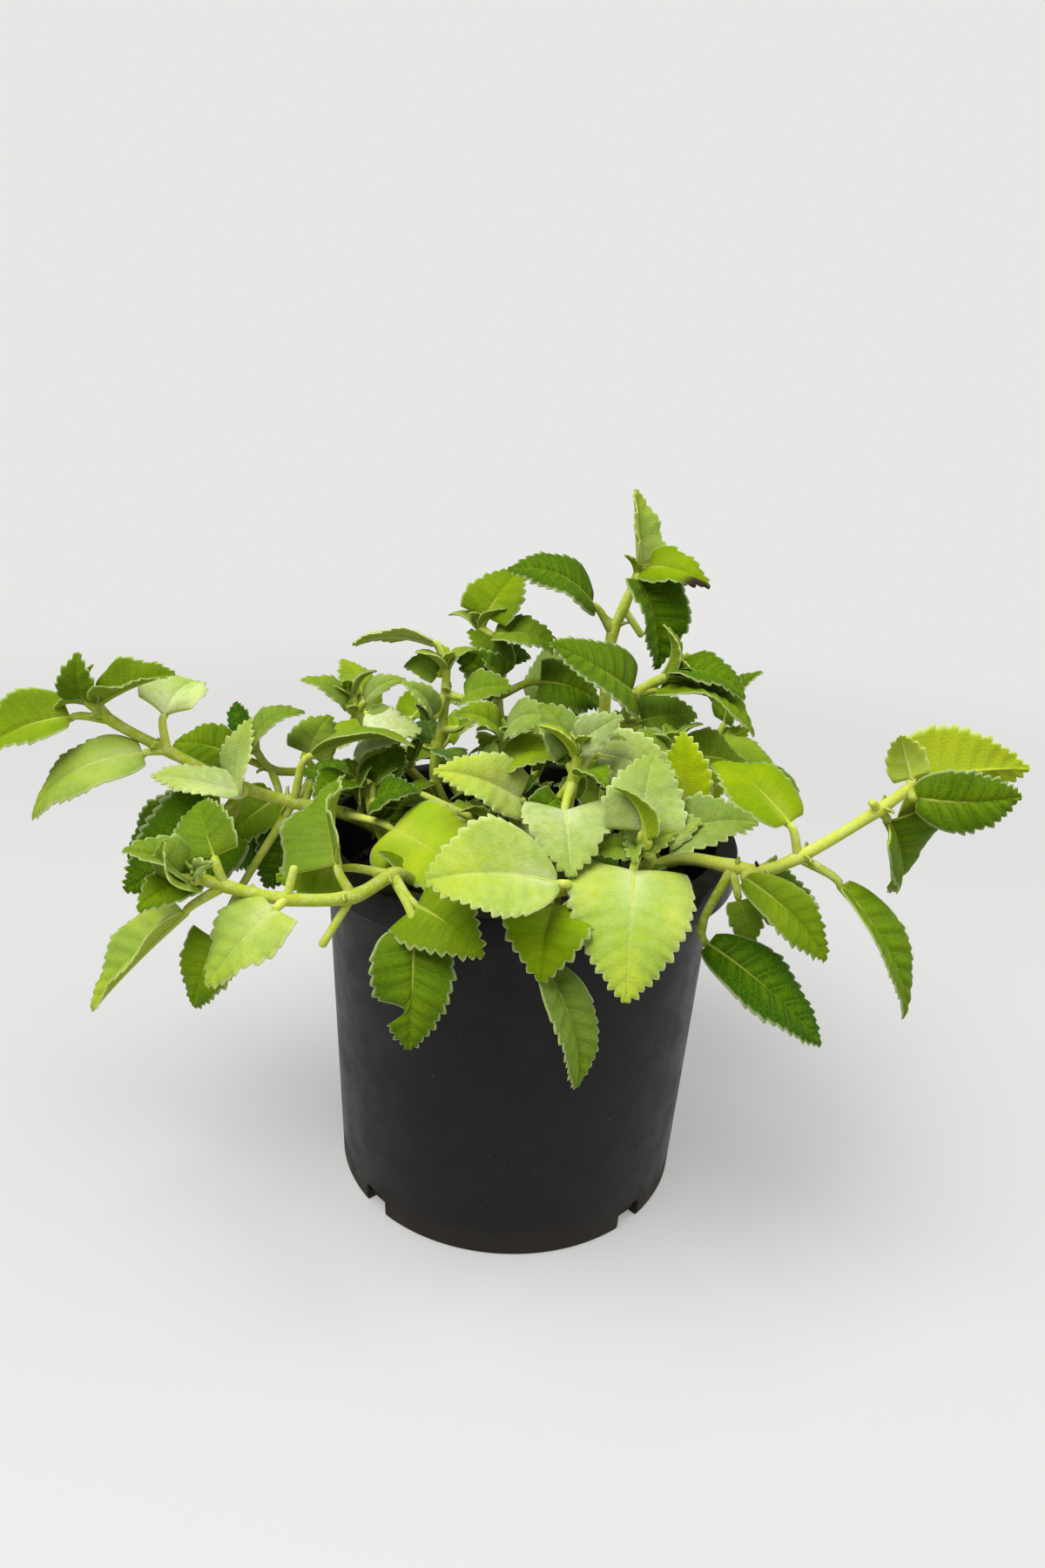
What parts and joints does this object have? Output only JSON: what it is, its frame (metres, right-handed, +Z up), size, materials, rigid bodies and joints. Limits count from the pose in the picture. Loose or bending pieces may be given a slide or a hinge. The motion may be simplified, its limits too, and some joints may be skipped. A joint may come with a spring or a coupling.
{
  "type": "potted cuban oregano",
  "caption": "Bushy herb with fleshy, toothed, opposite leaves on trailing and upright stems, growing in a plain round nursery pot.",
  "frame": {"origin": "centre of the flat underside of the pot, on the ground", "axes": "+Z up along the pot's axis; -Y towards the plant's front; +X to the right as seen from the front"},
  "size_m": [0.3262, 0.2204, 0.2471],
  "materials": {
    "pot": "black moulded plastic, satin, with a brownish band of dirt at the foot",
    "soil": "dark brown crumbly potting mix, matte",
    "leaf": "fleshy bright yellow-green leaf, velvety, with a paler midrib and underside"
  },
  "bodies": {
    "root": {"pot": "pot", "soil": "soil", "stem_left_high": "leaf", "stem_left_low": "leaf", "stem_left_rear": "leaf", "stem_left_inner": "leaf", "stem_rear_left": "leaf", "stem_centre_left": "leaf", "stem_centre_tall": "leaf", "stem_centre_low": "leaf", "stem_tall": "leaf", "stem_right_shoot": "leaf", "stem_front_centre": "leaf", "stem_front_low": "leaf", "stem_front": "leaf", "stem_right_long": "leaf", "stem_right_mid": "leaf", "stem_centre_inner": "leaf", "stem_rear_mid": "leaf", "stem_rear_right": "leaf", "stem_rear_far_left": "leaf", "stem_rear_low_right": "leaf"}
  },
  "joints": []
}
